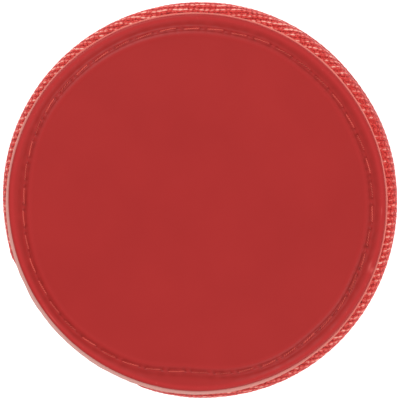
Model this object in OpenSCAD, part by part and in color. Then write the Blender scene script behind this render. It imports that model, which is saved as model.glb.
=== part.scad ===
// Round half-cover case for a table-tennis paddle.
// Two padded shells lie mouth to mouth, hinged by two fabric straps beside the handle mouth and
// closed by a coil zip. +Z is the normal of the front face, -Y points out of the handle mouth,
// and the origin is the centre of the back panel's resting face. Millimetres.
//
// Each half is drawn once, as the front one, with h counted up from the zip plane.

/* [Case] */
// Outer radius at the bulge of the shoulders
case_r = 90; // [88:1:91]
// Thickness over both face panels
case_t = 34; // [34:1:38]
// Radius of the rounded shoulders
shoulder_r = 6; // [5.5:0.5:6.5]
// Distance from the centre to the flat side that holds the handle mouth
flat_y = 80; // [79:0.5:81]

/* [Layers] */
// Woven cover thickness
cover_t = 0.6; // [0.4:0.1:0.8]
// Foam shell thickness
foam_t = 2.5; // [2:0.1:2.8]
// Lining thickness
lining_t = 0.4; // [0.3:0.1:0.5]
// Thickness of the edge and mouth bindings
bind_t = 0.5; // [0.3:0.1:0.5]

/* [Face panels] */
// Radius of the smooth face panel
panel_r = 85.6; // [84:0.1:85.8]
// Thickness of the smooth face panel
panel_t = 1.2; // [1:0.1:1.5]
// Radius of the backing whose cut edge shows round the panel
backing_r = 86.2; // [86:0.1:87]
// Thickness of that backing
backing_t = 0.8; // [0.5:0.1:1]
// How far the panel sits towards the mouth
panel_shift = 0.8; // [0:0.1:1]
// Radius of the ring of face stitches
stitch_ring_r = 79.7; // [78:0.1:80]
// Stitches in the ring
stitch_count = 46; // [30:1:60]

/* [Handle mouth and straps] */
// Half the width of the mouth
mouth_half = 17; // [15:0.5:17]
// Inner edge of each strap
strap_x0 = 20; // [20:0.5:22]
// Outer edge of each strap
strap_x1 = 31; // [28:0.5:31]
// Strap thickness
strap_t = 1.2; // [0.8:0.1:1.2]

/* [Zip] */
// Half-angle of the side that has no zip tape
tape_start = 31; // [30.5:0.5:31.5]
// Half-angle at which the slider parks
slider_park = 38; // [38:1:44]
// Radius of the coil
coil_r = 0.7; // [0.5:0.1:0.8]
// Length of the slider
slider_len = 9; // [8:0.5:10]
// Length of the pull tab
tab_len = 15; // [12:0.5:15]

/* [Hidden] */
$fn = 96;

// Heights above the zip plane
mid_z = case_t / 2;
panel_top_h = case_t / 2;
backing_top_h = panel_top_h - panel_t;
cover_top_h = backing_top_h - backing_t;
shoulder_h = cover_top_h - shoulder_r;
edge_h = 4.4;
below = 1;

// Every layer's surface lies a radius from the shoulder's centre line
round_c = case_r - shoulder_r;
flat_c = flat_y - shoulder_r;
foam_r = shoulder_r - cover_t;
lining_r = foam_r - foam_t;
inner_r = lining_r - lining_t;
roof_h = shoulder_h + inner_r;
bind_out_r = shoulder_r + bind_t;
bind_in_r = inner_r - bind_t;
wrap = 50;
reach = 2 * case_r;

// Bindings
flange_top_h = 5.9;
bind_low_h = edge_h - bind_t;
mouth_flange = 2.5;
mouth_in_y = flat_c - 1.5;

// Face panel section: a sewn groove between the flat face and a puffed lip
groove_in = 1.3;
groove_floor_h = panel_top_h - 0.45;
groove_out = 3.2;
lip_foot_h = panel_top_h - 0.7;
lip_round = 0.5;
thread_r = 0.42;
stitch_arc = 5.5;

// Zip, as radii from the disc's axis and heights from the zip plane
tape_t = 0.6;
tape_out = round_c + bind_in_r * cos(wrap);
tape_in = tape_out - tape_t;
tape_low_h = 0.5;
tape_top_h = 8.2;
chain_start = slider_park + 4;
chain_end = 360 - slider_park;
stop_arc = 1.4;
stop_low_h = 0.3;
stop_top_h = 2.3;
tape_stitch_pitch = 3.3;
tape_stitch_arc = 2.3;
tape_thread_r = 0.35;
tape_stitch_wrap = -31;

// Slider and pull tab
plate_out = [tape_out + 0.4, tape_out + 1.4];
plate_in = [tape_in - 3, tape_in - 1.9];
plate_half_h = 3.2;
lip_half_h = 2.35;
lip_top = tape_in - 0.5;
post_half_h = 0.2;
post_len = 2.5;
bail_half_h = 0.8;
bail_len = 5.2;
bail_top = 89.5;
pivot_r = 88.15;
pivot_hole_r = 0.62;
pivot_bar_r = 0.55;
tab_half_h = 2.9;
tab_t = 1.1;
tab_tilt = 6;
tab_window = 3.8;
tab_hole_r = 1.2;

strap_low_h = 3;
strap_top_h = 13.4;
strap_stitch_wraps = [14, 36];
strap_stitch_len = 2.2;
strap_stitch_pitch = 3.1;

// ---- Placing -------------------------------------------------------------------------------

module front_half() translate([0, 0, mid_z]) children();
module back_half() translate([0, 0, mid_z]) mirror([0, 0, 1]) children();

// An angle of 0 points out of the mouth, and angles grow anticlockwise seen from the front
module at_angle(a) rotate([0, 0, a - 90]) children();
module arc_of(start, sweep) at_angle(start) rotate_extrude(angle = sweep) children();

// ---- Shell layers --------------------------------------------------------------------------

// Section of everything inside a surface that lies rho from the shoulder's centre line
module wall_section(centre, rho, low, inward) {
    intersection() {
        translate([-inward, low]) square([inward + centre + rho, shoulder_h + rho - low]);
        union() {
            translate([centre, shoulder_h]) circle(r = rho);
            translate([-inward, low]) square([inward + centre + rho * cos(wrap), shoulder_h - low]);
            translate([-inward, shoulder_h - 0.5]) square([inward + centre, rho + 0.5]);
        }
    }
}

// The round dish of that section, cut off by the flat side that has the same shoulder
module dish(rho, low) {
    intersection() {
        rotate_extrude() wall_section(round_c, rho, low, 0);
        rotate([90, 0, -90]) linear_extrude(height = reach, center = true)
            wall_section(flat_c, rho, low, reach);
    }
}

// The handle mouth's hole, grown by g on its sides and roof
module mouth_hole(g) {
    translate([-mouth_half - g, -reach, -below])
        cube([2 * (mouth_half + g), reach - mouth_in_y, roof_h + g + below]);
}

module shell_layer(outer, inner) {
    difference() {
        dish(outer, edge_h);
        dish(inner, edge_h - below);
        mouth_hole(0);
    }
}

module shell_cover() color([0.78, 0.27, 0.24]) shell_layer(shoulder_r, foam_r);
module shell() color([0.25, 0.24, 0.24]) shell_layer(foam_r, lining_r);
module lining() color([0.16, 0.16, 0.17]) shell_layer(lining_r, inner_r);

// ---- Bindings ------------------------------------------------------------------------------

module binding_skin() {
    difference() {
        dish(bind_out_r, bind_low_h);
        dish(bind_in_r, bind_low_h - below);
    }
}

module edge_binding() {
    color([0.72, 0.2, 0.18]) difference() {
        intersection() {
            binding_skin();
            translate([0, 0, bind_low_h]) cylinder(r = case_r + 1, h = flange_top_h - bind_low_h);
        }
        shell_layer(shoulder_r, inner_r);
        mouth_hole(mouth_flange);
    }
}

module mouth_binding() {
    color([0.72, 0.2, 0.18]) difference() {
        intersection() {
            binding_skin();
            mouth_hole(mouth_flange);
        }
        shell_layer(shoulder_r, inner_r);
        mouth_hole(-bind_t);
    }
}

// ---- Face panels ---------------------------------------------------------------------------

module panel_place() translate([0, -panel_shift, 0]) children();

module panel_backing() {
    color([0.85, 0.55, 0.51]) panel_place() translate([0, 0, cover_top_h])
        cylinder(r = backing_r, h = backing_t, $fn = 180);
}

module face_panel() {
    lip_in = stitch_ring_r + groove_out;
    color([0.68, 0.2, 0.19]) panel_place() rotate_extrude($fn = 180) {
        polygon([
            [0, backing_top_h],
            [panel_r, backing_top_h],
            [panel_r, panel_top_h - lip_round],
            [panel_r - lip_round, panel_top_h],
            [lip_in + lip_round, panel_top_h],
            [lip_in, lip_foot_h],
            [stitch_ring_r + groove_in, lip_foot_h],
            [stitch_ring_r + groove_in, groove_floor_h],
            [stitch_ring_r - groove_in, groove_floor_h],
            [stitch_ring_r - groove_in, panel_top_h],
            [0, panel_top_h]
        ]);
    }
}

module face_stitching() {
    color([0.74, 0.25, 0.24]) panel_place() for (i = [0 : stitch_count - 1])
        arc_of(i * 360 / stitch_count, stitch_arc) intersection() {
            translate([stitch_ring_r, groove_floor_h]) circle(r = thread_r, $fn = 24);
            translate([stitch_ring_r - 1, groove_floor_h]) square([2, 1]);
        }
}

// ---- Zip -----------------------------------------------------------------------------------

module zip_tape() {
    color([0.7, 0.2, 0.19]) translate([0, 0, tape_low_h]) arc_of(tape_start, 360 - 2 * tape_start)
        translate([tape_in, 0]) square([tape_t, tape_top_h - tape_low_h]);
}

module zip_coil() {
    color([0.62, 0.12, 0.12]) arc_of(chain_start, chain_end - chain_start + 4)
        translate([tape_in - coil_r, tape_low_h + coil_r]) circle(r = coil_r, $fn = 24);
}

// A small clip folded over the tape's edge at each end of the chain
module zip_stops() {
    ends = [slider_park - 5, chain_end + 5];
    color([0.75, 0.75, 0.77]) for (a = ends)
        arc_of(a - stop_arc / 2, stop_arc) difference() {
            translate([tape_in - 1, stop_low_h]) square([tape_t + 1.5, stop_top_h - stop_low_h]);
            translate([tape_in, tape_low_h]) square([tape_t, stop_top_h]);
        }
}

// One row of stitches through the edge binding, the shell's rim and the tape
module tape_stitching() {
    last = floor((360 - 2 * tape_start - 4) / tape_stitch_pitch);
    color([0.8, 0.32, 0.29]) for (i = [0 : last - 1])
        arc_of(tape_start + 2 + i * tape_stitch_pitch, tape_stitch_arc) difference() {
            translate([round_c, shoulder_h]) rotate(tape_stitch_wrap)
                translate([bind_out_r, 0]) circle(r = tape_thread_r, $fn = 24);
            translate([round_c, shoulder_h]) circle(r = bind_out_r);
        }
}

// ---- Spine straps --------------------------------------------------------------------------

// One half of a strap: sewn over the shoulder of its shell and standing free below it
module strap(side) {
    mid = side * (strap_x0 + strap_x1) / 2;
    color([0.76, 0.26, 0.23]) translate([mid, 0, 0]) rotate([90, 0, -90])
        linear_extrude(height = strap_x1 - strap_x0, center = true) union() {
            translate([flat_y, strap_low_h]) square([strap_t, shoulder_h - strap_low_h]);
            intersection() {
                translate([flat_c, shoulder_h]) difference() {
                    circle(r = shoulder_r + strap_t);
                    circle(r = shoulder_r);
                }
                translate([flat_c, shoulder_h]) square([2 * shoulder_r, strap_top_h - shoulder_h]);
            }
        }
}

module strap_stitching() {
    strap_mid = (strap_x0 + strap_x1) / 2;
    color([0.8, 0.32, 0.29]) for (side = [-1, 1], a = strap_stitch_wraps, i = [-1 : 1])
        translate([side * strap_mid + i * strap_stitch_pitch, 0, 0]) rotate([90, 0, -90])
            linear_extrude(height = strap_stitch_len, center = true)
                translate([flat_c, shoulder_h]) difference() {
                    rotate(a) translate([shoulder_r + strap_t, 0]) circle(r = tape_thread_r, $fn = 24);
                    circle(r = shoulder_r + strap_t);
                }
}

// ---- Slider --------------------------------------------------------------------------------

// A curved block of the slider: radii, half-height and length along the zip
module slider_block(r0, r1, low, high, len) {
    sweep = len / tape_out * 180 / PI;
    arc_of(slider_park - sweep / 2, sweep) translate([r0, low]) square([r1 - r0, high - low]);
}

module slider_body() {
    front_half() color([0.78, 0.78, 0.8]) difference() {
        union() {
            slider_block(plate_out[0], plate_out[1], -plate_half_h, plate_half_h, slider_len);
            slider_block(plate_in[0], plate_in[1], -plate_half_h, plate_half_h, slider_len);
            slider_block(plate_in[0], lip_top, lip_half_h, plate_half_h, slider_len);
            slider_block(plate_in[0], lip_top, -plate_half_h, -lip_half_h, slider_len);
            slider_block(plate_in[0], plate_out[1], -post_half_h, post_half_h, post_len);
            slider_block(plate_out[0], bail_top, -bail_half_h, bail_half_h, bail_len);
        }
        at_angle(slider_park) translate([pivot_r, 0, 0])
            cylinder(r = pivot_hole_r, h = 4 * bail_half_h, center = true);
    }
}

// The tab lies along the zip. Its window goes round the bail and its bar through the bail's hole.
module pull_tab() {
    front_half() color([0.78, 0.78, 0.8]) at_angle(slider_park) translate([pivot_r, 0, 0])
        rotate([0, 0, tab_tilt]) {
            cylinder(r = pivot_bar_r, h = 2 * tab_half_h, center = true);
            difference() {
                translate([-tab_t / 2, 0, -tab_half_h]) cube([tab_t, tab_len - tab_half_h, 2 * tab_half_h]);
                translate([-tab_t, -1, -bail_half_h - 0.4])
                    cube([2 * tab_t, 1 + tab_window, 2 * (bail_half_h + 0.4)]);
            }
            translate([0, tab_len - tab_half_h, 0]) rotate([0, 90, 0]) difference() {
                cylinder(r = tab_half_h, h = tab_t, center = true);
                cylinder(r = tab_hole_r, h = 2 * tab_t, center = true);
            }
        }
}

// ---- Assembly ------------------------------------------------------------------------------

front_half() face_panel();  // front_face_panel
front_half() panel_backing();  // front_panel_backing
front_half() face_stitching();  // front_face_stitching
front_half() shell_cover();  // front_shell_cover
front_half() shell();  // front_shell
front_half() lining();  // front_lining
front_half() edge_binding();  // front_edge_binding
front_half() mouth_binding();  // front_mouth_binding
front_half() zip_tape();  // front_zip_tape
front_half() zip_coil();  // front_zip_coil
front_half() zip_stops();  // front_zip_stops
front_half() tape_stitching();  // front_tape_stitching
front_half() strap(-1);  // front_strap_left
front_half() strap(1);  // front_strap_right
front_half() strap_stitching();  // front_strap_stitching
back_half() face_panel();  // back_face_panel
back_half() panel_backing();  // back_panel_backing
back_half() face_stitching();  // back_face_stitching
back_half() shell_cover();  // back_shell_cover
back_half() shell();  // back_shell
back_half() lining();  // back_lining
back_half() edge_binding();  // back_edge_binding
back_half() mouth_binding();  // back_mouth_binding
back_half() zip_tape();  // back_zip_tape
back_half() zip_coil();  // back_zip_coil
back_half() zip_stops();  // back_zip_stops
back_half() tape_stitching();  // back_tape_stitching
back_half() strap(-1);  // back_strap_left
back_half() strap(1);  // back_strap_right
back_half() strap_stitching();  // back_strap_stitching
slider_body();
pull_tab();
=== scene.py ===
"""Looks of the round paddle case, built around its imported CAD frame.

Lengths in this file are in millimetres and turned into metres where a mesh is made. Each half is
built in its own half frame: x and y as in the row, and h counted from the zip plane outwards, so
one recipe makes the front and the back. Angles are degrees anticlockwise from +X, seen from the
front; the handle mouth points to -90.
"""

import math

import bmesh
import bpy
import numpy as np
from mathutils import Matrix, Vector


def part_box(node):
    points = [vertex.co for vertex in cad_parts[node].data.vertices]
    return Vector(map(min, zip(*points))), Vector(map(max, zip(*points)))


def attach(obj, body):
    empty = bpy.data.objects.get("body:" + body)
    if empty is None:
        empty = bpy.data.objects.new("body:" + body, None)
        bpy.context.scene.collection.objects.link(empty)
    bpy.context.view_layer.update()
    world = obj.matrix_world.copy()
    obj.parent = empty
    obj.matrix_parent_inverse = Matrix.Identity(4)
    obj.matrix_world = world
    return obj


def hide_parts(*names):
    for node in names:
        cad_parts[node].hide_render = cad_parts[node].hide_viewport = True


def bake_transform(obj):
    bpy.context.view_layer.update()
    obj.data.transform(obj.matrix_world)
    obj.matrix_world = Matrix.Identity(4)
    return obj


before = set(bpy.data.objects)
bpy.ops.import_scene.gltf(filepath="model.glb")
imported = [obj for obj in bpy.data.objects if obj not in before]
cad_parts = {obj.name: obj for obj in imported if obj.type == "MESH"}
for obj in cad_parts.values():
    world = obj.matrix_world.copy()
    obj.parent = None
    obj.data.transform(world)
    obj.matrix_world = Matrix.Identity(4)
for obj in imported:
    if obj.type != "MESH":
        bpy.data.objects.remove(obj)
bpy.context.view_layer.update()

MM = 0.001
HALVES = ("front", "back")


# ---- Sizes read from the frame --------------------------------------------------------------


def corners(node):
    """A CAD node's lowest and highest corners, in mm."""
    low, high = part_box(node)
    return np.array(low) / MM, np.array(high) / MM


panel_low, panel_high = corners("front_face_panel")
backing_low, backing_high = corners("front_panel_backing")
cover_low, cover_high = corners("front_shell_cover")
foam_high = corners("front_shell")[1]
tape_low, tape_high = corners("front_zip_tape")
coil_low, coil_high = corners("front_zip_coil")
strap_low, strap_high = corners("front_strap_right")

MID = panel_high[2] / 2
PANEL_TOP = panel_high[2] - MID
PANEL_R = (panel_high[0] - panel_low[0]) / 2
PANEL_SHIFT = -(panel_high[1] + panel_low[1]) / 2
PANEL_FLOOR = backing_high[2] - MID
BACKING_R = (backing_high[0] - backing_low[0]) / 2
COVER_TOP = backing_low[2] - MID
CASE_R = cover_high[1]
EDGE_H = cover_low[2] - MID
COVER_T = cover_high[2] - foam_high[2]
LINING_T = 0.4
TAPE_R = tape_high[1]
TAPE_LOW = tape_low[2] - MID
TAPE_TOP = tape_high[2] - MID
COIL_D = coil_high[2] - coil_low[2]
STRAP_X = (strap_low[0], strap_high[0])
STRAP_T = 1.2

SHOULDER_R = 6.0
SHOULDER_H = COVER_TOP - SHOULDER_R
ROUND_C = CASE_R - SHOULDER_R
FLAT_C = -cover_low[1] - SHOULDER_R
WRAP = -50.0
INNER_R = 2.5
FOAM_OUT_R = SHOULDER_R - COVER_T
LINING_OUT_R = INNER_R + LINING_T
CORNER_R = 14.0
MOUTH_HALF = 17.0
MOUTH_ROOF = SHOULDER_H + INNER_R
STITCH_R = 79.7
STITCHES = 46


# ---- Meshes ---------------------------------------------------------------------------------


def in_row(points, half):
    """Half-frame points as row-frame metres."""
    out = np.array(points, float)
    out[..., 2] = MID + out[..., 2] * (1 if half == "front" else -1)
    return out * MM


def grid_faces(rows, cols, wrap_rows, wrap_cols):
    i = np.arange(rows if wrap_rows else rows - 1)[:, None]
    j = np.arange(cols if wrap_cols else cols - 1)[None, :]
    i2, j2 = (i + 1) % rows, (j + 1) % cols
    quads = np.stack([i * cols + j, i * cols + j2, i2 * cols + j2, i2 * cols + j], -1)
    return quads


def mesh_object(name, verts, faces, material):
    mesh = bpy.data.meshes.new(name)
    mesh.from_pydata(verts.reshape(-1, 3).tolist(), [], [list(map(int, f)) for f in faces])
    mesh.validate()
    mesh.polygons.foreach_set("use_smooth", [True] * len(mesh.polygons))
    mesh.materials.append(material)
    piece = bpy.data.objects.new(name, mesh)
    bpy.context.scene.collection.objects.link(piece)
    return piece


def add_numbers(piece, name, values):
    """A named number on each vertex, for the materials to read."""
    layer = piece.data.attributes.new(name, "FLOAT", "POINT")
    layer.data.foreach_set("value", np.asarray(values, np.float32).ravel())


def add_cloth_map(piece, flat):
    """A UV map whose values are the cloth's own flat coordinates in mm."""
    layer = piece.data.uv_layers.new(name="cloth")
    corner = np.empty(len(piece.data.loops), np.int32)
    piece.data.loops.foreach_get("vertex_index", corner)
    layer.data.foreach_set("uv", flat.reshape(-1, 2)[corner].astype(np.float32).ravel())


def loft(name, half, points, material, wrap_rows, wrap_cols, flat=None, numbers=None, drop=None):
    """A grid of points as one piece. drop marks faces to leave out; open lofts with closed
    sections get their ends capped."""
    rows, cols = points.shape[:2]
    quads = grid_faces(rows, cols, wrap_rows, wrap_cols)
    if half == "back":
        quads = quads[..., ::-1]
    faces = quads.reshape(-1, 4)
    if drop is not None:
        centre = points.reshape(-1, 3)[faces].mean(1)
        faces = faces[~drop(centre)]
    faces = faces.tolist()
    if wrap_cols and not wrap_rows:
        ends = [list(range(cols))[::-1], [(rows - 1) * cols + k for k in range(cols)]]
        faces += [e[::-1] for e in ends] if half == "back" else ends
    piece = mesh_object(name, in_row(points, half), faces, material)
    if flat is not None:
        add_cloth_map(piece, flat)
    for key, values in (numbers or {}).items():
        add_numbers(piece, key, values)
    return piece


def modify(piece, kind, **settings):
    """Adds one modifier and applies it."""
    modifier = piece.modifiers.new(kind.lower(), kind)
    for key, value in settings.items():
        setattr(modifier, key, value)
    with bpy.context.temp_override(object=piece, active_object=piece, selected_objects=[piece]):
        bpy.ops.object.modifier_apply(modifier=modifier.name)
    return piece


def merge_close(piece, distance=1e-6):
    """Closes the points where a lathe's grid meets its axis."""
    work = bmesh.new()
    work.from_mesh(piece.data)
    bmesh.ops.remove_doubles(work, verts=work.verts, dist=distance)
    work.to_mesh(piece.data)
    work.free()
    return piece


def place(piece, half_or_body, slot, *nodes):
    """Rides on its body and stands for its CAD nodes, which it hides. The slot is not used."""
    body = f"{half_or_body}_half" if half_or_body in HALVES else half_or_body
    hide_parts(*nodes)
    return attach(piece, body)


# ---- Shape helpers --------------------------------------------------------------------------


def smooth(x, low, high):
    t = np.clip((x - low) / (high - low), 0, 1)
    return t * t * (3 - 2 * t)


def bell(x, width):
    return np.exp(-((x / width) ** 2))


def degrees_apart(a, b):
    return (a - b + 180) % 360 - 180


def ripple(angle, seed, low, high):
    """Smooth noise round the rim, about -1 to 1, from waves of low to high cycles a turn."""
    dice = np.random.RandomState(seed)
    waves = np.arange(low, high + 1)
    phase = dice.uniform(0, 2 * math.pi, len(waves))
    size = dice.uniform(0.4, 1, len(waves))
    total = sum(s * np.sin(np.radians(angle) * w + p) for w, p, s in zip(waves, phase, size))
    return total / math.sqrt(0.5 * np.sum(size**2)) / 2


def cell_noise(*keys):
    """One repeatable random number, 0 to 1, for each combination of whole numbers."""
    total = sum(np.asarray(k, float) * m for k, m in zip(keys, (12.9898, 78.233, 37.719)))
    return np.abs(np.sin(total) * 43758.5453) % 1


def direction(angle):
    a = np.radians(angle)
    return np.stack([np.cos(a), np.sin(a)], -1)


def slump(angle):
    """How far the soft wall has spread or been pressed in, in mm, round the rim."""
    spread = 0.45 * bell(degrees_apart(angle, -13), 24) + 0.38 * bell(degrees_apart(angle, 128), 16)
    # Both corners beside the mouth are pulled in a little
    corners_in = bell(degrees_apart(angle, -62), 10) + bell(degrees_apart(angle, -127), 13)
    return spread - 0.5 * bell(degrees_apart(angle, 82), 15) - 0.45 * corners_in


def rim_path(step):
    """The shoulder's centre line once round, from the middle of the flat side anticlockwise.

    Returns points, outward normals and which normal angle each has. The step is measured on the
    outside of the shoulder. A point falls on each side of the handle mouth.
    """
    fillet_y = -(FLAT_C - CORNER_R)
    fillet_x = math.sqrt((ROUND_C - CORNER_R) ** 2 - fillet_y**2)
    turn = math.degrees(math.atan2(fillet_y, fillet_x))

    def count(length):
        return max(2, round(length / step))

    xs = [np.linspace(0, MOUTH_HALF, count(MOUTH_HALF), endpoint=False)]
    xs.append(np.linspace(MOUTH_HALF, fillet_x, count(fillet_x - MOUTH_HALF), endpoint=False))
    xs = np.concatenate(xs)
    flat_points = np.stack([xs, np.full_like(xs, -FLAT_C)], -1)
    flat_angles = np.full_like(xs, -90.0)

    corner_len = (CORNER_R + SHOULDER_R) * math.radians(90 + turn)
    corner_angles = np.linspace(-90, turn, count(corner_len), endpoint=False)
    corner_points = np.array([fillet_x, fillet_y]) + CORNER_R * direction(corner_angles)

    arc_len = CASE_R * math.radians(90 - turn)
    arc_angles = np.linspace(turn, 90, count(arc_len), endpoint=False)
    arc_points = ROUND_C * direction(arc_angles)

    right = np.concatenate([flat_points, corner_points, arc_points])
    angles = np.concatenate([flat_angles, corner_angles, arc_angles])
    left = right[:0:-1] * [-1, 1]
    top = np.array([[0, ROUND_C]])
    points = np.concatenate([right, top, left])
    normal_angles = np.concatenate([angles, [90.0], 180 - angles[:0:-1]])
    normals = direction(normal_angles)
    return points + normals * slump(normal_angles)[:, None], normals, normal_angles


def sweep(points, normals, section):
    """Points of a section of (e, h) pairs, e outward from the path, swept along it."""
    e, h = section[..., 0], section[..., 1]
    if e.ndim == 1:
        e, h = e[None, :], h[None, :]
    flat = points[:, None, :] + normals[:, None, :] * e[..., None]
    height = np.broadcast_to(h, flat.shape[:2])
    return np.concatenate([flat, height[..., None]], -1)


def open_at_mouth(points, normals, angles, gap):
    """The path without the stretch in front of the handle mouth, from its right side round."""
    keep = ~((np.abs(points[:, 0]) < gap) & (points[:, 1] < 0))
    return points[keep], normals[keep], angles[keep]


def shoulder_point(rho, wrap):
    a = math.radians(wrap)
    return rho * math.cos(a), SHOULDER_H + rho * math.sin(a)


def thread(ends_in, ends_out, lift, radius, rings=15, sides=10, ply=1.9):
    """One stitch: two twisted plies laid from one hole to the next. ends are (x, y, h) points,
    lift is how high the middle stands over them. Returns a (rings, sides, 3) grid of points."""
    a, b = np.array(ends_in, float), np.array(ends_out, float)
    along = b - a
    length = np.linalg.norm(along)
    along /= length
    t = np.linspace(0, 1, rings)
    arch = 1 - np.abs(2 * t - 1) ** 3.5
    up = np.array(lift, float)
    line = a + (b - a) * t[:, None] + up * arch[:, None]
    up_dir = up / np.linalg.norm(up)
    side = np.cross(along, up_dir)
    side /= np.linalg.norm(side)
    around = np.linspace(0, 2 * math.pi, sides, endpoint=False)
    lobe = np.cos(2 * (around[None, :] - 2 * math.pi * t[:, None] * length / ply))
    taper = 0.55 + 0.45 * np.sqrt(np.clip(1 - (2 * t - 1) ** 6, 0, 1))
    r = radius * taper[:, None] * (0.76 + 0.24 * lobe)
    ring = np.cos(around)[None, :, None] * side + np.sin(around)[None, :, None] * up_dir
    return line[:, None, :] + ring * r[..., None]


def stitches_piece(name, half, tubes, material):
    """Many stitches as one piece. Their shade numbers tell thread from thread and paint shade into the
    grooves between the plies and highlights onto their ridges.
    """
    verts, faces, shade = [], [], []
    start = 0
    for k, tube in enumerate(tubes):
        rings, sides = tube.shape[:2]
        quads = grid_faces(rings, sides, False, True).reshape(-1, 4)
        caps = [list(range(sides))[::-1], [(rings - 1) * sides + j for j in range(sides)]]
        part = quads.tolist() + caps
        faces += [[start + v for v in (f[::-1] if half == "back" else f)] for f in part]
        verts.append(tube.reshape(-1, 3))
        core = tube.mean(1, keepdims=True)
        ridge = np.linalg.norm(tube - core, axis=2)
        ridge = ridge / ridge.max(1, keepdims=True)
        shade.append((0.4 * cell_noise(k, 3) + 1.7 * (ridge - 0.6)).ravel())
        start += rings * sides
    piece = mesh_object(name, in_row(np.concatenate(verts), half), faces, material)
    add_numbers(piece, "shade", np.concatenate(shade))
    return piece


# ---- Materials ------------------------------------------------------------------------------


class Shader:
    """A principled material built from a few node calls. Colours are linear."""

    def __init__(self, name, roughness=0.5, specular=0.5, **constants):
        self.material = bpy.data.materials.new(name)
        self.material.use_nodes = True
        self.tree = self.material.node_tree
        self.bsdf = self.tree.nodes["Principled BSDF"]
        self.set("Roughness", roughness)
        self.set("Specular IOR Level", specular)
        for key, value in constants.items():
            self.set(key.replace("_", " "), value)

    def set(self, socket, value):
        target = self.bsdf.inputs[socket]
        if isinstance(value, bpy.types.NodeSocket):
            self.tree.links.new(value, target)
        else:
            target.default_value = value
        return self

    def node(self, kind, output=0, settings=None, **inputs):
        made = self.tree.nodes.new(kind)
        for key, value in (settings or {}).items():
            setattr(made, key, value)
        for key, value in inputs.items():
            socket = made.inputs[int(key[1:]) if key[0] == "i" and key[1:].isdigit() else key]
            if isinstance(value, bpy.types.NodeSocket):
                self.tree.links.new(value, socket)
            else:
                socket.default_value = value
        return made.outputs[output]

    def place_mm(self):
        """Where a point is in the row frame at rest, in mm."""
        here = self.node("ShaderNodeTexCoord", "Object")
        return self.node(
            "ShaderNodeVectorMath", 0, {"operation": "SCALE"}, i0=here, Scale=1 / MM
        )

    def cloth_mm(self):
        return self.node("ShaderNodeUVMap", 0, {"uv_map": "cloth"})

    def number(self, name):
        return self.node("ShaderNodeAttribute", "Fac", {"attribute_name": name})

    def sum(self, a, b):
        return self.math("ADD", a, b)

    def math(self, operation, a, b=0.0, clamp=False):
        settings = {"operation": operation, "use_clamp": clamp}
        return self.node("ShaderNodeMath", 0, settings, i0=a, i1=b)

    def scaled(self, vector, x, y, z=1.0):
        return self.node(
            "ShaderNodeVectorMath", 0, {"operation": "MULTIPLY"}, i0=vector, i1=(x, y, z)
        )

    def axis(self, vector, name):
        return self.node("ShaderNodeSeparateXYZ", name, i0=vector)

    def noise(self, vector, per_mm, detail=3.0, roughness=0.55):
        return self.node(
            "ShaderNodeTexNoise", "Fac", i0=vector, Scale=per_mm, Detail=detail, Roughness=roughness
        )

    def wave(self, along, pitch, sharp=1.0):
        """0 to 1 ridges, one for each pitch of the number along."""
        turn = self.math("MULTIPLY", along, math.pi / pitch)
        ridge = self.math("ABSOLUTE", self.math("SINE", turn))
        return self.math("POWER", ridge, sharp)

    def ramp(self, factor, *stops):
        made = self.tree.nodes.new("ShaderNodeValToRGB")
        self.tree.links.new(factor, made.inputs[0])
        colours = made.color_ramp.elements
        for k, (place_at, colour) in enumerate(stops):
            stop = colours[k] if k < 2 else colours.new(place_at)
            stop.position = place_at
            stop.color = (*colour, 1)
        return made.outputs[0]

    def mix(self, factor, a, b):
        made = self.tree.nodes.new("ShaderNodeMix")
        made.data_type = "RGBA"
        for socket, value in ((0, factor), (6, a), (7, b)):
            if isinstance(value, bpy.types.NodeSocket):
                self.tree.links.new(value, made.inputs[socket])
            elif socket == 0:
                made.inputs[socket].default_value = value
            else:
                made.inputs[socket].default_value = (*value, 1)
        return made.outputs[2]

    def between(self, factor, low, high):
        return self.node(
            "ShaderNodeMapRange", 0, Value=factor, **{"To Min": low, "To Max": high}
        )

    def bump(self, height, strength, depth_mm):
        normal = self.node(
            "ShaderNodeBump", 0, Height=height, Strength=strength, Distance=depth_mm * MM
        )
        return self.set("Normal", normal)


def vinyl():
    """Smooth coated vinyl: nearly even, with a fine grain, a painted highlight and some rubbing on the
    raised lip, pale marks on the lip and painted shade along the seam.
    """
    s = Shader("face_vinyl", roughness=0.42, specular=0.27)
    here = s.place_mm()
    cloud = s.noise(here, 0.03, 2)
    grain = s.noise(here, 3.2, 4, 0.6)
    base = s.ramp(cloud, (0.3, (0.415, 0.0182, 0.0165)), (0.7, (0.44, 0.0205, 0.0185)))
    # Painted highlight on the raised lip and the puff inside the seam
    lip_highlight_and_wear = s.number("lip_highlight_and_wear")
    lip_highlight_and_rubbing = s.mix(s.math("MULTIPLY", lip_highlight_and_wear, 1.0, True), base, (0.53, 0.026, 0.026))
    # Rubbed patches on the lip, then the listed pale marks, those near 25 and 43 degrees painted
    # highlights
    rubbed = s.math("SUBTRACT", s.noise(s.scaled(here, 1, 1, 4), 0.75, 4, 0.7), 0.60)
    rubbed = s.math("MULTIPLY", s.math("MULTIPLY", rubbed, 5.0, True), lip_highlight_and_wear, True)
    lip_highlight_and_rubbing = s.mix(s.math("ADD", rubbed, s.number("pale_lip"), True), lip_highlight_and_rubbing, (0.66, 0.085, 0.075))
    # Painted shade along the seam
    low = s.math("MULTIPLY", s.number("shade"), 1.0, True)
    shaded = s.mix(low, lip_highlight_and_rubbing, (0.30, 0.011, 0.008))
    s.set("Base Color", shaded)
    s.set("Roughness", s.between(s.noise(here, 0.6, 3), 0.36, 0.50))
    return s.bump(grain, 0.10, 0.06).material


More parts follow.
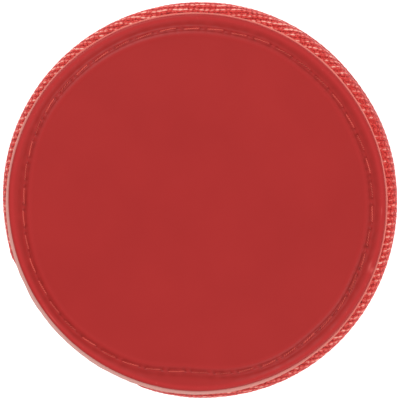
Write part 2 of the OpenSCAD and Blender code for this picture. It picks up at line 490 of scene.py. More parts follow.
def felt():
    """Pale backing felt, seen as a thin cut edge, with painted light that makes it paler and greyer on
    the mouth's side.
    """
    s = Shader("panel_backing", roughness=0.9, specular=0.1)
    here = s.place_mm()
    fibre = s.noise(s.scaled(here, 1, 1, 3), 2.4, 5, 0.7)
    felt_colour = s.ramp(fibre, (0.25, (0.72, 0.15, 0.12)), (0.75, (0.98, 0.30, 0.25)))
    painted_pale_side = s.ramp(fibre, (0.25, (0.60, 0.28, 0.24)), (0.75, (0.82, 0.47, 0.42)))
    # Painted light: paler and greyer towards the mouth's side
    side = s.math("ADD", s.math("MULTIPLY", s.axis(here, "Y"), -0.010), 0.15, True)
    s.set("Base Color", s.mix(side, felt_colour, painted_pale_side))
    return s.bump(fibre, 0.6, 0.15).material


def thread_material(name, dark, light):
    """Twisted sewing thread, a little different from stitch to stitch, with painted shade between its
    plies and painted highlights on them.
    """
    s = Shader(name, roughness=0.65, specular=0.2)
    here = s.place_mm()
    fibre = s.noise(here, 3.0, 3, 0.65)
    # Painted shade between the plies and painted highlights on them
    ply = s.math("MULTIPLY", s.number("shade"), 0.8)
    tone = s.math("ADD", ply, s.math("MULTIPLY", s.sum(fibre, -0.25), 0.9))
    s.set("Base Color", s.ramp(tone, (0.25, dark), (0.95, light)))
    return s.bump(fibre, 0.4, 0.08).material


def woven():
    """Coarse ribbed cloth. The yarns stand up in the mesh; their height, which paints shade in the gaps
    and highlights on the crests, and their painted glints are numbers on its points."""
    s = Shader("woven_cover", roughness=0.5, specular=0.22)
    cloth = s.cloth_mm()
    fibre = s.noise(cloth, 4.0, 3, 0.6)
    height = s.number("yarn_shade_and_highlight")
    slub = s.noise(cloth, 1.15, 2, 0.7)
    uneven = s.math("ADD", s.math("MULTIPLY", fibre, 0.5), s.math("MULTIPLY", slub, 1.5))
    # Tone from the yarns' height: painted shade in the gaps and painted highlights on the crests. The
    # fibre and slub noise is the cloth's own uneven tone
    tone = s.math("ADD", height, s.math("SUBTRACT", uneven, 1.0))
    body = s.ramp(
        tone,
        (0.22, (0.22, 0.006, 0.006)),
        (0.48, (0.60, 0.026, 0.021)),
        (0.72, (0.76, 0.058, 0.048)),
        (1.00, (0.86, 0.18, 0.15)),
    )
    # Painted glints: pale highlights on the crests, broken up by the slub
    broken = s.between(s.math("SUBTRACT", s.math("MULTIPLY", slub, 2.0), 0.5), 0.2, 2.2)
    painted_glint = s.math("MULTIPLY", s.number("painted_glint"), broken, True)
    s.set("Base Color", s.mix(painted_glint, body, (1.0, 0.52, 0.42)))
    return s.bump(fibre, 0.5, 0.1).material


def ribbed(name, dark, light, pitch):
    """Ribbed tape or webbing: ribs run across the piece, crossed by finer warp yarns."""
    s = Shader(name, roughness=0.62, specular=0.35)
    cloth = s.cloth_mm()
    u, v = s.axis(cloth, "X"), s.axis(cloth, "Y")
    rib = s.wave(u, pitch, 0.8)
    rib_number = s.math("FLOOR", s.math("DIVIDE", u, pitch))
    row = s.wave(s.sum(v, s.math("MULTIPLY", rib_number, 0.21)), 0.42, 0.6)
    fibre = s.noise(cloth, 3.5, 3, 0.6)
    weave = s.math("MULTIPLY", rib, s.between(row, 0.55, 1.0))
    tone = s.math("ADD", s.math("MULTIPLY", weave, 0.75), s.math("MULTIPLY", fibre, 0.3))
    s.set("Base Color", s.ramp(tone, (0.1, dark), (0.9, light)))
    s.set("Sheen Weight", 0.15)
    return s.bump(s.math("ADD", weave, s.math("MULTIPLY", fibre, 0.3)), 0.7, 0.16).material


def zip_cloth():
    """Zip tape: a fine herringbone whose slope flips every few yarns."""
    s = Shader("zip_tape", roughness=0.7, specular=0.3)
    cloth = s.cloth_mm()
    u, v = s.axis(cloth, "X"), s.axis(cloth, "Y")
    fold = s.math("ABSOLUTE", s.math("SUBTRACT", s.math("FRACT", s.math("DIVIDE", v, 2.6)), 0.5))
    twill = s.wave(s.sum(u, s.math("MULTIPLY", fold, 2.6)), 0.55, 0.8)
    fibre = s.noise(cloth, 4.0, 3)
    tone = s.math("ADD", s.math("MULTIPLY", twill, 0.7), s.math("MULTIPLY", fibre, 0.3))
    s.set("Base Color", s.ramp(tone, (0.1, (0.17, 0.009, 0.009)), (0.9, (0.44, 0.032, 0.028))))
    return s.bump(tone, 0.6, 0.1).material


def lining_cloth():
    """Short brushed lining."""
    s = Shader("lining_cloth", roughness=0.95, specular=0.2)
    here = s.place_mm()
    nap = s.noise(s.scaled(here, 1, 0.35, 1), 2.2, 5, 0.7)
    patch = s.noise(here, 0.05, 3)
    tone = s.math("ADD", s.math("MULTIPLY", nap, 0.6), s.math("MULTIPLY", patch, 0.4))
    s.set("Base Color", s.ramp(tone, (0.3, (0.010, 0.010, 0.011)), (0.7, (0.045, 0.044, 0.048))))
    s.set("Sheen Weight", 0.5)
    s.set("Sheen Roughness", 0.5)
    return s.bump(nap, 0.6, 0.25).material


def foam():
    """Moulded closed-cell foam."""
    s = Shader("shell_foam", roughness=0.85, specular=0.25)
    here = s.place_mm()
    cells = s.node("ShaderNodeTexVoronoi", "Distance", i0=here, Scale=2.6)
    grain = s.noise(here, 1.1, 4)
    tone = s.math("ADD", s.math("MULTIPLY", cells, 0.6), s.math("MULTIPLY", grain, 0.4))
    s.set("Base Color", s.ramp(tone, (0.2, (0.028, 0.028, 0.030)), (0.8, (0.075, 0.073, 0.072))))
    return s.bump(cells, 0.5, 0.15).material


def nylon():
    """Zip coil: dyed nylon monofilament."""
    s = Shader("zip_coil", roughness=0.35, specular=0.5)
    here = s.place_mm()
    tint = s.noise(here, 0.8, 3)
    s.set("Base Color", s.ramp(tint, (0.3, (0.20, 0.011, 0.012)), (0.7, (0.36, 0.025, 0.024))))
    s.set("Roughness", s.between(tint, 0.28, 0.42))
    return s.bump(s.noise(here, 6.0, 2), 0.15, 0.03).material


def plated():
    """Nickel-plated die casting with fine handling marks."""
    s = Shader("zip_metal", roughness=0.25, specular=0.5, Metallic=1.0)
    here = s.place_mm()
    cloud = s.noise(here, 0.5, 4)
    marks = s.noise(s.scaled(here, 1, 1, 9), 1.6, 4, 0.65)
    s.set("Base Color", s.ramp(cloud, (0.3, (0.52, 0.51, 0.50)), (0.7, (0.72, 0.72, 0.73))))
    s.set("Roughness", s.between(marks, 0.18, 0.42))
    return s.bump(marks, 0.12, 0.03).material


# ---- Weave of the cover ---------------------------------------------------------------------

RIB = 0.95
FLOAT = 2.4
BUNDLE = 2.85


def weave(flat):
    """Height of the yarns and their painted highlights, 0 to 1, at flat cloth coordinates. Ribs run
    along (1, 1).
    """
    u = (flat[..., 0] + flat[..., 1]) / math.sqrt(2)
    v = (flat[..., 1] - flat[..., 0]) / math.sqrt(2)
    v = v + 0.22 * np.sin(u / 4.1) + 0.16 * np.sin(u / 1.7 + v)
    band = np.floor(v / BUNDLE)
    across = v / BUNDLE - band
    place_u = (u + 0.3 * np.sin(v / 1.3)) / FLOAT + 0.5 * (band % 2) + 0.8 * cell_noise(band, 5)
    column = np.floor(place_u)
    along = place_u - column
    chance = cell_noise(band, column, 2)
    rib = np.abs(np.sin(math.pi * v / RIB)) ** 0.7
    bulk = np.sin(math.pi * across) ** 0.6 * np.sin(math.pi * along) ** 0.4
    rise = (0.35 + 0.65 * bulk) * (0.6 + 0.4 * rib) * (0.8 + 0.2 * chance)
    # Painted highlight: a short streak on each float, its strength set at random
    streak = 0.35 + 0.3 * cell_noise(column, band, 7)
    painted_glint = bell(across - streak, 0.075) * bell(along - 0.5, 0.24 + 0.2 * chance)
    return rise, painted_glint * (0.15 + 1.15 * chance**1.5)


# ---- Shells: cover, foam and lining ---------------------------------------------------------


def shoulder_columns(rho, spacing):
    """Wrap angles from the top of the shoulder to where the wall ends, evenly spaced."""
    count = round(math.radians(90 - WRAP) * rho / spacing)
    return np.linspace(90, WRAP, count)


def shell_cover(half):
    points, normals, angles = rim_path(0.40)
    wraps = shoulder_columns(SHOULDER_R, 0.26)
    scale = np.linspace(0.0, 1.0, 7)[:-1] ** 0.5
    inner = points[:, None, :] * scale[None, :, None]
    top = np.concatenate([inner, np.full((*inner.shape[:2], 1), COVER_TOP)], -1)
    e = SHOULDER_R * np.cos(np.radians(wraps))
    h = SHOULDER_H + SHOULDER_R * np.sin(np.radians(wraps))
    arc = sweep(points, normals, np.stack([e, h], -1))
    run = SHOULDER_R * np.radians(90 - wraps)
    arc_flat = points[:, None, :] + normals[:, None, :] * run[None, :, None]
    flat = np.concatenate([inner, arc_flat], 1)

    rise, shine = weave(arc_flat)
    calm = smooth(run, 0.5, 2.0)[None, :]
    out = np.zeros_like(arc)
    out[..., :2] = normals[:, None, :] * np.cos(np.radians(wraps))[None, :, None]
    out[..., 2] = np.sin(np.radians(wraps))[None, :]
    arc = arc + out * ((rise - 0.8) * 0.40 * calm)[..., None]
    grid = np.concatenate([top, arc], 1)
    blank = np.zeros(inner.shape[:2])
    yarn_shade_and_highlight = np.concatenate([blank + 0.5, rise], 1)
    # Duller round 68 degrees, brighter round 148. Part of this is painted-in light, not the yarns' own
    # colour, and the glints it scales are painted highlights
    dull_tone_and_light = bell(degrees_apart(angles, 68), 34)
    painted_glint_gain = 1.2 + 1.4 * bell(degrees_apart(angles, 148), 44) - 0.65 * dull_tone_and_light
    painted_glint = np.concatenate([blank, shine * painted_glint_gain[:, None]], 1)
    yarn_shade_and_highlight = yarn_shade_and_highlight + 0.45 * (0.46 - yarn_shade_and_highlight) * dull_tone_and_light[:, None]

    def in_mouth(centre):
        low = centre[:, 2] < MOUTH_ROOF
        return (np.abs(centre[:, 0]) < MOUTH_HALF) & (centre[:, 1] < -70) & low

    numbers = {"yarn_shade_and_highlight": yarn_shade_and_highlight, "painted_glint": painted_glint}
    name = f"{half}_woven_cover"
    piece = loft(name, half, grid, woven_cloth, True, False, flat, numbers, in_mouth)
    merge_close(piece)
    piece.vertex_groups.new(name="inside")
    thickness = (COVER_T - 0.08) * MM
    modify(piece, "SOLIDIFY", thickness=thickness, offset=-1, shell_vertex_group="inside")
    # The inner skin is never seen, so the thinning is steered to it
    modify(piece, "DECIMATE", ratio=0.57, vertex_group="inside", vertex_group_factor=1000)
    return place(piece, half, "woven_cover", f"{half}_shell_cover")


def dish_layer(name, half, outer, inner, material, slot, *nodes):
    """A closed dish between two shoulder radii, with the handle mouth cut out of its wall."""
    points, normals = rim_path(1.6)[:2]
    wraps = np.linspace(90, WRAP, 15)
    scale = np.linspace(0.0, 1.0, 6)[:-1]
    low = EDGE_H + 0.02

    def surface(rho):
        top = points[:, None, :] * scale[None, :, None]
        top = np.concatenate([top, np.full((*top.shape[:2], 1), SHOULDER_H + rho)], -1)
        e = rho * np.cos(np.radians(wraps))
        h = np.maximum(SHOULDER_H + rho * np.sin(np.radians(wraps)), low)
        e, h = np.append(e, e[-1]), np.append(h, low)
        return np.concatenate([top, sweep(points, normals, np.stack([e, h], -1))], 1)

    grid = np.concatenate([surface(outer), surface(inner)[:, ::-1]], 1)
    piece = merge_close(loft(name, half, grid, material, True, False))
    low_corner = (-MOUTH_HALF, -CASE_R - 10, -1)
    hole = box_mesh(low_corner, (MOUTH_HALF, 1.5 - FLAT_C, MOUTH_ROOF), half, name + "_hole")
    modify(piece, "BOOLEAN", object=hole, operation="DIFFERENCE", solver="EXACT")
    bpy.data.objects.remove(hole)
    piece.data.polygons.foreach_set("use_smooth", [True] * len(piece.data.polygons))
    piece.data.set_sharp_from_angle(angle=math.radians(40))
    return place(piece, half, slot, *nodes)


def foam_shell(half):
    outer, inner = FOAM_OUT_R - 0.03, LINING_OUT_R + 0.03
    return dish_layer(f"{half}_foam", half, outer, inner, shell_foam, "shell_foam", f"{half}_shell")


def lining(half):
    name, node = f"{half}_inside", f"{half}_lining"
    return dish_layer(name, half, LINING_OUT_R, INNER_R, brushed_lining, "lining_cloth", node)


def box_mesh(low, high, half, name):
    """A plain box to cut with, between two half-frame corners."""
    corner = np.array([[(low, high)[(k >> a) & 1][a] for a in range(3)] for k in range(8)], float)
    faces = [(0, 2, 3, 1), (4, 5, 7, 6), (0, 1, 5, 4), (2, 6, 7, 3), (0, 4, 6, 2), (1, 3, 7, 5)]
    mesh = bpy.data.meshes.new(name)
    faces = [f[::-1] for f in faces] if half == "back" else faces
    mesh.from_pydata(in_row(corner, half).tolist(), [], faces)
    made = bpy.data.objects.new(name, mesh)
    bpy.context.scene.collection.objects.link(made)
    return made


# ---- Face panel, its backing and its seam ---------------------------------------------------

LIP_CREST = PANEL_R - 1.3
SEAM_STEP = 360 / STITCHES
STITCH_ARC = 5.6
SLANT = 0.22


def seam_radius(angle):
    """The seam wanders: it runs in at one place on the right and swells out at the mouth."""
    dip = -3.0 * bell(degrees_apart(angle, -48), 13)
    swell = 1.1 * bell(degrees_apart(angle, -97), 16)
    start = -1.0 * bell(degrees_apart(angle, -137), 13)
    return STITCH_R - 0.5 + dip + swell + start + 0.22 * ripple(angle, 11, 2, 15)


def toward_mouth(angle):
    """1 on the mouth's side, where more of the backing shows, and 0 on the far side."""
    return smooth(-np.sin(np.radians(angle - 12)), -0.2, 1.0)


def panel_height(angle, radius):
    """Top of the vinyl over the zip plane, the painted highlight on its lip and puff, which also bounds
    the lip's wear, and its painted shade.
    """
    seam = radius - seam_radius(angle)
    in_stitch = np.abs(degrees_apart(angle * STITCHES, STITCH_ARC * STITCHES / 2) / 180)
    hole = bell(in_stitch - STITCH_ARC / SEAM_STEP, 0.13)
    tug = 0.5 + 0.5 * np.cos(np.radians(angle) * STITCHES)
    tack = bell(degrees_apart(angle, 21), 8) + 0.7 * bell(degrees_apart(angle, -136), 4)
    field = PANEL_TOP - 0.16 + 0.035 * ripple(angle, 4, 1, 5) * smooth(radius, 10, 60)
    puff = 0.13 * bell(seam + 2.7, 0.9)
    line = (0.16 + 0.10 * hole + 0.16 * tack) * bell(seam + 1.15, 0.45 + 0.2 * tack)
    bed = 0.34 * bell(seam, 0.6) + 0.32 * hole * bell(seam, 0.45)
    drop = 0.34 * smooth(seam, 0.2, 1.6)
    lip = LIP_CREST + 0.10 * ripple(angle, 8, 3, 30)
    climb_from = seam_radius(angle) + 2.0
    climb = smooth(radius, climb_from, lip - 0.3) * (0.48 + 0.05 * ripple(angle, 9, 20, 70))
    fold = 0.05 * np.sin(np.radians(angle) * STITCHES * 1.5 + 3 * ripple(angle, 2, 2, 9))
    fold = fold * bell(seam - 2.3, 1.3) + 0.05 * (tug - 0.5) * bell(seam - 1.8, 1.4)
    over = np.clip((radius - lip) / (PANEL_R - lip), 0, 1)
    roll = 0.85 * (1 - np.sqrt(np.clip(1 - over**2.4, 0, 1)))
    height = field + puff - line - bed - drop + climb + fold - roll
    # Painted highlight on the raised lip and on the puff inside the seam; the lip's rubbing is kept to
    # it as well
    lip_highlight_and_wear = bell(radius - lip + 0.5, 1.1) * 0.9 + 0.25 * bell(seam + 2.7, 0.8)
    # Painted shade: darker beside the stitches, in the channel outside them, in the needle holes and
    # along the seam
    patchy = 0.42 + 0.16 * ripple(angle, 6, 25, 110)
    beside = 0.75 - 0.35 * smooth(in_stitch, 0.55, 0.9)
    shade = (beside + 0.6 * tack) * bell(seam + 0.95, 0.42) + patchy * bell(seam - 1.9, 1.0)
    shade = shade + (0.7 + 0.6 * tack) * hole * bell(seam, 0.6)
    shade = shade + 0.28 * ripple(angle, 3, 40, 160) * bell(seam + 0.4, 1.5)
    # Painted shade: the vinyl beside the sewn-over stretch is darker
    sewn_over_shade = 0.45 * bell(degrees_apart(angle, 6), 20)
    shade = shade + sewn_over_shade * (0.8 + 0.5 * ripple(angle, 5, 30, 90)) * bell(seam - 0.1, 1.0)
    return np.minimum(height, PANEL_TOP + 0.03), lip_highlight_and_wear, shade


# Angle, radius, half width in degrees and half thickness of each pale mark on the lip. Those near 25 and
# 43 degrees are painted highlights
PALE_LIP_MARKS = (
    (25.5, 83.0, 1.5, 0.5),
    (24.5, 84.4, 0.8, 0.9),
    (43.0, 83.6, 1.2, 0.2),
    (-97, 84.2, 3.0, 0.3),
)


def pale_lip_marks(angle, radius):
    """How much the lip is painted pale at the listed marks."""
    size = [bell(degrees_apart(angle, a), w) * bell(radius - r, t) for a, r, w, t in PALE_LIP_MARKS]
    return 0.8 * sum(size)


def turned(angles, radii, heights):
    """Points at angles and radii about the panel's own centre."""
    a = np.radians(angles)[:, None]
    x = radii * np.cos(a)
    y = radii * np.sin(a) - PANEL_SHIFT
    return np.stack([x, y, heights], -1)


def face_panel(half):
    angles = np.arange(STITCHES * 22) * 360 / (STITCHES * 22)
    inside = np.linspace(0, 72, 9)
    seam_band = np.linspace(73, PANEL_R - 1.3, 46)
    edge = PANEL_R - 1.3 * np.cos(np.linspace(0.12, 0.5, 6) * math.pi)
    radii = np.concatenate([inside, seam_band, edge])[None, :]
    a = angles[:, None]
    wobble = 0.10 * ripple(a, 21, 2, 12) - 0.45 * toward_mouth(a)
    wobble = wobble * smooth(radii, 80, PANEL_R)
    height, lip_highlight_and_wear, shade = panel_height(a, radii + 0 * a)
    top = turned(angles, radii + wobble, height)
    under_r = np.array([[PANEL_R - 0.15, PANEL_R - 3, 40.0, 0.0]]) + wobble[:, -1:] * [1, 1, 0, 0]
    under_h = np.array([[PANEL_FLOOR + 0.01] * 4]) + 0 * a
    under = turned(angles, under_r, under_h)
    grid = np.concatenate([top, under], 1)
    blank = np.zeros(under.shape[:2])
    numbers = {
        "lip_highlight_and_wear": np.concatenate([lip_highlight_and_wear, blank], 1),
        "pale_lip": np.concatenate([pale_lip_marks(a, radii), blank], 1),
        "shade": np.concatenate([shade, blank], 1),
    }
    piece = loft(f"{half}_vinyl_panel", half, grid, face_vinyl, True, False, numbers=numbers)
    merge_close(piece)
    return place(piece, half, "face_vinyl", f"{half}_face_panel")


def panel_backing(half):
    angles = np.arange(900) * 0.4
    a = angles[:, None]
    edge = BACKING_R + 0.10 * ripple(a, 31, 3, 40) + 0.05 * ripple(a, 32, 60, 160)
    edge = edge + 0.72 * toward_mouth(a)
    low, high = COVER_TOP + 0.01, PANEL_FLOOR - 0.01
    mid = (low + high) / 2
    out = np.array([[0.0, 60, 83, 85.0, 85.7]]) + 0 * a
    back = np.array([[85.6, 84.5, 60.0, 0.0]]) + 0 * a
    rim = [edge - 0.28, edge - 0.06, edge, edge - 0.08, edge - 0.3]
    radii = np.concatenate([out, *rim, back], 1)
    rise = [high] * 5 + [high - 0.02, high - 0.16, mid, low + 0.14, low + 0.02] + [low] * 4
    grid = turned(angles, radii, np.array([rise]) + 0 * a)
    piece = loft(f"{half}_felt_backing", half, grid, backing_felt, True, False)
    merge_close(piece)
    return place(piece, half, "panel_backing", f"{half}_panel_backing")


def panel_top(angle, radius):
    return float(panel_height(np.array([[float(angle)]]), np.array([[radius]]))[0][0, 0])


def seam_stitch(a0, a1, aside=0.0):
    """One stitch that lies in the seam's bed and dives into the needle hole at each end."""
    a0 = a0 + 0.5 * (cell_noise(round(a0 * 10), 1) - 0.5)
    a1 = a1 + 0.5 * (cell_noise(round(a1 * 10), 2) - 0.5)
    aside = aside + 0.55 * (cell_noise(round(a0 * 10), 4) - 0.5)
    middle = (a0 + a1) / 2
    bed = panel_top(middle, seam_radius(middle) + aside)
    ends = []
    for a, slant in ((a0, SLANT), (a1, -SLANT)):
        x, y = direction(a) * (seam_radius(a) + aside + slant)
        ends.append((x, y - PANEL_SHIFT, bed - 0.38))
    tube = thread(*ends, (0, 0, 0.50), 0.36, rings=21, sides=12, ply=2.3)
    along = np.linspace(0, 1, len(tube))[:, None, None]
    bow = seam_radius(middle) * (1 - math.cos(math.radians(a1 - a0) / 2))
    return tube + np.append(direction(middle), 0) * bow * 4 * along * (1 - along)


def face_stitching(half):
    """46 long stitches. Where the seam starts and ends, a few are sewn over twice."""
    tubes = []
    for k in range(STITCHES):
        start = k * SEAM_STEP
        tubes.append(seam_stitch(start + 0.1, start + STITCH_ARC))
        if 8 < start < 26:
            tubes.append(seam_stitch(start - 1.2, start + STITCH_ARC - 0.9, 0.72))
    piece = stitches_piece(f"{half}_seam_thread", half, tubes, face_thread)
    return place(piece, half, "face_thread", f"{half}_face_stitching")


# ---- Bindings -------------------------------------------------------------------------------

BIND_T = 0.5
FLANGE_TOP = 5.9
FLANGE = 2.5


def edge_binding(half):
    """Ribbed tape folded round the wall's edge, from outside to inside."""
    path = rim_path(0.6)
    points, normals, angles = open_at_mouth(*path, MOUTH_HALF + FLANGE)
    top_wrap = math.degrees(math.asin((FLANGE_TOP - SHOULDER_H) / (SHOULDER_R + BIND_T)))
    outer = [shoulder_point(SHOULDER_R + BIND_T, w) for w in np.linspace(top_wrap, -49, 8)]
    foot = EDGE_H - BIND_T
    in_e = (INNER_R - BIND_T) * math.cos(math.radians(WRAP))
    fold = [(3.9, foot + 0.06), (3.4, foot), (2.4, foot - 0.02), (1.7, foot), (in_e + 0.1, foot + 0.1)]
    inner = [(in_e, foot + 0.35), (in_e, 5.0), (in_e, 5.7), (in_e + 0.12, FLANGE_TOP)]
    inside = [(in_e + 0.5, 5.85), (in_e + 0.5, EDGE_H), (3.75, EDGE_H)]
    back = [shoulder_point(SHOULDER_R, w) for w in np.linspace(-49, top_wrap - 2, 5)]
    section = np.array(outer + fold + inner + inside + back)
    wave = 0.05 * ripple(angles, 51, 20, 90) + 0.06 * ripple(angles, 52, 3, 14)
    grid = sweep(points, normals, section)
    on_outside = smooth(section[:, 0], 4.0, 5.2)[None, :]
    grid[..., 2] += wave[:, None] * on_outside
    along = np.concatenate([[0], np.cumsum(np.linalg.norm(np.diff(points, axis=0), axis=1))])
    around = np.concatenate([[0], np.cumsum(np.linalg.norm(np.diff(section, axis=0), axis=1))])
    flat = np.stack(np.meshgrid(along * CASE_R / ROUND_C, around, indexing="ij"), -1)
    piece = loft(f"{half}_rim_binding", half, grid, binding_tape, False, True, flat)
    return place(piece, half, "binding_tape", f"{half}_edge_binding")


def mouth_binding(half):
    """The same tape round the handle mouth: the CAD solid, softened as folded cloth."""
    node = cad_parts[f"{half}_mouth_binding"]
    piece = bpy.data.objects.new(f"{half}_mouth_tape", node.data.copy())
    bpy.context.scene.collection.objects.link(piece)
    merge_close(piece)
    modify(piece, "REMESH", mode="VOXEL", voxel_size=0.16 * MM, use_smooth_shade=True)
    modify(piece, "SMOOTH", factor=0.5, iterations=6)
    place_at = np.empty(len(piece.data.vertices) * 3)
    piece.data.vertices.foreach_get("co", place_at)
    x, y, z = place_at.reshape(-1, 3).T / MM
    h = np.abs(z - MID)
    on_leg = (np.abs(x) - MOUTH_HALF) > (h - MOUTH_ROOF)
    flat = np.stack([np.where(on_leg, h, x), np.where(on_leg, y, y + 0.3 * h)], -1)
    piece.data.materials.clear()
    piece.data.materials.append(binding_tape)
    add_cloth_map(piece, flat)
    return place(piece, half, "binding_tape", f"{half}_mouth_binding")


# ---- Zip ------------------------------------------------------------------------------------

TAPE_START = 31
TAPE_T = 0.6
COIL_R = COIL_D / 2
COIL_PITCH = 1.35
CHAIN = (42.0, 330.0)
TAPE_SEAM_WRAP = -34


def from_mouth(angle):
    """Angles along the zip count from the mouth; this gives them from +X."""
    return angle - 90


def zip_tape(half):
    angles = np.linspace(TAPE_START, 360 - TAPE_START, 900)
    out, inner = TAPE_R, TAPE_R - TAPE_T
    low, high = TAPE_LOW, TAPE_TOP
    rounding = 0.18
    heights = np.linspace(low + rounding, high - rounding, 9)
    section = [(inner, h) for h in heights] + [(inner + rounding, high), (out - rounding, high)]
    section += [(out, h) for h in heights[::-1]] + [(out - rounding, low), (inner + rounding, low)]
    section = np.array(section)
    turn = direction(from_mouth(angles))
    grid = sweep(np.zeros_like(turn), turn, section)
    slack = 0.12 * ripple(angles, 61, 12, 50)[:, None] * smooth(section[:, 1], 4, high)[None, :]
    grid[..., 2] += slack
    grid[..., :2] -= turn[:, None, :] * (0.15 * np.abs(slack))[..., None]
    around = np.concatenate([[0], np.cumsum(np.linalg.norm(np.diff(section, axis=0), axis=1))])
    flat = np.stack(np.meshgrid(np.radians(angles) * out, around, indexing="ij"), -1)
    piece = loft(f"{half}_zip_cloth", half, grid, tape_cloth, False, True, flat)
    return place(piece, half, "zip_tape", f"{half}_zip_tape")


def zip_coil(half):
    """A nylon filament wound into a flattened coil and laid along the tape's edge."""
    wire = 0.21
    centre_r = TAPE_R - TAPE_T - COIL_R
    length = math.radians(CHAIN[1] - CHAIN[0]) * centre_r
    turns = round(length / COIL_PITCH)
    t = np.linspace(0, 1, turns * 12 + 1)
    angle = from_mouth(CHAIN[0] + (CHAIN[1] - CHAIN[0]) * t)
    phase = 2 * math.pi * turns * t
    reach = COIL_R - wire
    r = centre_r + reach * np.cos(phase)
    h = TAPE_LOW + COIL_R + reach * np.sin(phase)
    line = np.concatenate([direction(angle) * r[:, None], h[:, None]], 1)
    tangent = np.gradient(line, axis=0)
    tangent /= np.linalg.norm(tangent, axis=1)[:, None]
    middle = np.concatenate([direction(angle) * centre_r, np.full((len(t), 1), TAPE_LOW + COIL_R)], 1)
    out = line - middle
    out -= tangent * np.sum(out * tangent, 1)[:, None]
    out /= np.linalg.norm(out, axis=1)[:, None]
    side = np.cross(tangent, out)
    ring = np.linspace(0, 2 * math.pi, 6, endpoint=False)
    tube = out[:, None, :] * np.cos(ring)[None, :, None] + side[:, None, :] * np.sin(ring)[None, :, None]
    grid = line[:, None, :] + wire * tube
    piece = loft(f"{half}_coil", half, grid[:, ::-1], coil_nylon, False, True)
    return place(piece, half, "zip_coil", f"{half}_zip_coil")


def tape_stitching(half):
    """One row of lockstitches through binding, wall and tape, seen outside and inside."""
    tubes = []
    pitch = 3.3
    for k in range(round((360 - 2 * TAPE_START - 4) / pitch)):
        a0 = TAPE_START + 2 + k * pitch
        a1 = a0 + 2.7
        sway = 0.12 * math.sin(k * 1.7)
        e, h = shoulder_point(SHOULDER_R + BIND_T + 0.02, TAPE_SEAM_WRAP)
        e += slump(from_mouth((a0 + a1) / 2))
        lift = np.append(direction(from_mouth((a0 + a1) / 2)), -0.35) * 0.42
        ends = [(*direction(from_mouth(a)) * (ROUND_C + e - 0.18), h + sway) for a in (a0, a1)]
        tubes.append(thread(*ends, lift, 0.29, rings=9, sides=8, ply=1.5))
        r = TAPE_R - TAPE_T + 0.12
        ends = [(*direction(from_mouth(a)) * r, h + sway) for a in (a0, a1)]
        inward = -np.append(direction(from_mouth((a0 + a1) / 2)), 0) * 0.38
        tubes.append(thread(*ends, inward, 0.27, rings=9, sides=8, ply=1.5))
    piece = stitches_piece(f"{half}_rim_thread", half, tubes, trim_thread)
    return place(piece, half, "trim_thread", f"{half}_tape_stitching")


# ---- Spine straps ---------------------------------------------------------------------------

STRAP_STITCH_WRAPS = (12, 24, 35)


def spine_strap(side):
    """One webbing strap from shoulder to shoulder, across where the lid hinges."""
    top_wrap = 37.0
    radii = (SHOULDER_R, SHOULDER_R + STRAP_T)

    def edge_of(rho):
        arc = [shoulder_point(rho, w) for w in np.linspace(top_wrap, 0, 14)]
        half_line = [(rho, h) for h in np.linspace(SHOULDER_H, 0, 16)[1:]]
        upper = np.array(arc + half_line)
        lower = upper[-2::-1] * [1, -1]
        return np.concatenate([upper, lower])

    inner, outer = edge_of(radii[0] + 0.03), edge_of(radii[1])
    x0, x1 = STRAP_X
    run = np.concatenate([[0], np.cumsum(np.linalg.norm(np.diff(outer, axis=0), axis=1))])
    across = np.linspace(0, 1, 17)
    soft = 0.32 * np.clip(1 - np.minimum(across, 1 - across) / 0.05, 0, 1) ** 2
    ribs = 0.05 * np.abs(np.sin(math.pi * run / 0.9))[:, None]
    arch = 0.10 * np.sin(math.pi * across)[None, :]
    face = outer[:, None, :] + 0 * across[None, :, None]
    push = outer - inner
    push = push / np.linalg.norm(push, axis=1)[:, None]
    face = face - push[:, None, :] * (soft[None, :, None] + (0.12 - ribs - arch)[..., None])
    rear = inner[:, None, :] + push[:, None, :] * (soft[None, ::-1, None] + 0 * ribs[..., None])
    section = np.concatenate([face, rear], 1)
    x = np.concatenate([across, across[::-1]]) * (x1 - x0) + x0
    wander = 0.10 * np.sin(run / 5.0)[:, None] + 0 * x[None, :]
    y = -(FLAT_C + section[..., 0])
    grid = np.stack([(x[None, :] + wander) * side, y, section[..., 1]], -1)
    if side < 0:
        grid = grid[:, ::-1]
    flat = np.stack([run[:, None] + 0 * x[None, :], x[None, :] + 0 * run[:, None]], -1)
    name = "left" if side < 0 else "right"
    piece = loft(f"spine_strap_{name}", "front", grid, strap_webbing, False, True, flat)
    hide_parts(f"front_strap_{name}", f"back_strap_{name}")
    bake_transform(piece)
    return piece


def strap_stitching(half):
    tubes = []
    x_mid = sum(STRAP_X) / 2
    rho = SHOULDER_R + STRAP_T + 0.02
    for side in (-1, 1):
        for wrap in STRAP_STITCH_WRAPS:
            e, h = shoulder_point(rho, wrap)
            up = shoulder_point(1, wrap)
            lift = np.array([0, -up[0], up[1] - SHOULDER_H]) * 0.40
            for i in (-1, 0, 1):
                x = side * x_mid + i * 3.1
                ends = [(x + dx, -(FLAT_C + e), h) for dx in (-1.35, 1.35)]
                tubes.append(thread(*ends, lift, 0.30, rings=11, sides=8, ply=1.5))
    piece = stitches_piece(f"{half}_strap_thread", half, tubes, trim_thread)
    return place(piece, half, "trim_thread", f"{half}_strap_stitching")


# ---- Metal ----------------------------------------------------------------------------------


def cast_metal(node, bevel):
    """Keeps the CAD solid, with its edges rounded as on a die casting."""
    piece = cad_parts[node]
    piece.data.materials.clear()
    piece.data.materials.append(zip_metal)
    weld = piece.modifiers.new("weld", "WELD")
    weld.merge_threshold = 0.001 * MM
    rounding = piece.modifiers.new("rounding", "BEVEL")
    rounding.width = bevel * MM
    rounding.segments = 3
    rounding.limit_method = "ANGLE"
    rounding.angle_limit = math.radians(35)
    rounding.harden_normals = True


# ---- Build ----------------------------------------------------------------------------------

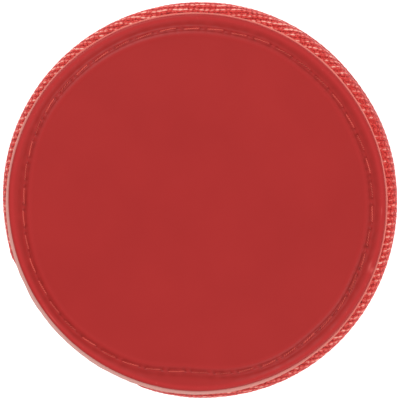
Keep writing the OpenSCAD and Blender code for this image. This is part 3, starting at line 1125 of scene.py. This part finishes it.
face_vinyl = vinyl()
backing_felt = felt()
woven_cloth = woven()
shell_foam = foam()
brushed_lining = lining_cloth()
tape_cloth = zip_cloth()
coil_nylon = nylon()
zip_metal = plated()
face_thread = thread_material("face_thread", (0.26, 0.010, 0.009), (0.88, 0.13, 0.10))
trim_thread = thread_material("trim_thread", (0.36, 0.022, 0.02), (0.76, 0.16, 0.14))
binding_tape = ribbed("binding_tape", (0.17, 0.007, 0.007), (0.50, 0.035, 0.03), 1.1)
strap_webbing = ribbed("strap_webbing", (0.19, 0.008, 0.008), (0.58, 0.055, 0.045), 0.9)

for half in HALVES:
    padding = foam_shell(half)
    cover = shell_cover(half)
    inside = lining(half)
    backing = panel_backing(half)
    panel = face_panel(half)
    face_stitching(half)
    edge_binding(half)
    mouth_binding(half)
    zip_tape(half)
    zip_coil(half)
    tape_stitching(half)
    strap_stitching(half)
    cast_metal(f"{half}_zip_stops", 0.12)

spine_strap(-1)
spine_strap(1)
cast_metal("slider_body", 0.22)
cast_metal("pull_tab", 0.22)


# ---- Camera, floor and light ----------------------------------------------------------------

TILT = math.radians(7)
DISTANCE = 1.0
LENS = 196.5

backward = Vector((0, math.sin(TILT), math.cos(TILT)))
right = Vector((1, 1, 0)).normalized()
right = (right - backward * right.dot(backward)).normalized()
up = backward.cross(right)
turn = Matrix((right, up, backward)).transposed().to_4x4()

camera = bpy.data.objects.new("camera", bpy.data.cameras.new("camera"))
camera.data.lens = LENS
camera.data.sensor_width = 36
camera.data.clip_end = 10
target = Vector((0, 0, MID * MM))
camera.matrix_world = Matrix.Translation(target + backward * DISTANCE) @ turn
bpy.context.scene.collection.objects.link(camera)
bpy.context.scene.camera = camera


def lamp(name, at, size, power):
    """A soft square light that faces the case."""
    light = bpy.data.lights.new(name, "AREA")
    light.shape = "SQUARE"
    light.size = size
    light.energy = power
    made = bpy.data.objects.new(name, light)
    made.location = at
    made.rotation_euler = (target - Vector(at)).to_track_quat("-Z", "Y").to_euler()
    bpy.context.scene.collection.objects.link(made)


lamp("key", (-0.75, 0.15, 0.95), 0.7, 6.1)
lamp("fill", (0.8, -0.2, 0.85), 0.8, 4.8)
lamp("rear", (0.1, 0.95, 0.8), 0.7, 1.9)

world = bpy.data.worlds.new("studio")
world.use_nodes = True
world.node_tree.nodes["Background"].inputs["Color"].default_value = (1, 1, 1, 1)
world.node_tree.nodes["Background"].inputs["Strength"].default_value = 0.40
bpy.context.scene.world = world

FLOOR_HALF = 6.0

floor_mesh = bpy.data.meshes.new("floor")
floor_corners = [(x * FLOOR_HALF, y * FLOOR_HALF, 0) for x, y in ((-1, -1), (1, -1), (1, 1), (-1, 1))]
floor_mesh.from_pydata(floor_corners, [], [(0, 1, 2, 3)])
floor = bpy.data.objects.new("floor", floor_mesh)
bpy.context.scene.collection.objects.link(floor)
paper = Shader("paper", roughness=0.9, specular=0.0)
tooth = paper.noise(paper.place_mm(), 0.8, 3)
paper.set("Base Color", paper.ramp(tooth, (0.0, (0.86, 0.86, 0.86)), (1.0, (0.9, 0.9, 0.9))))
paper.set("Emission Color", (1, 1, 1, 1))
paper.set("Emission Strength", 0.75)
floor_mesh.materials.append(paper.material)

scene = bpy.context.scene
scene.view_settings.view_transform = "Standard"
scene.view_settings.look = "None"
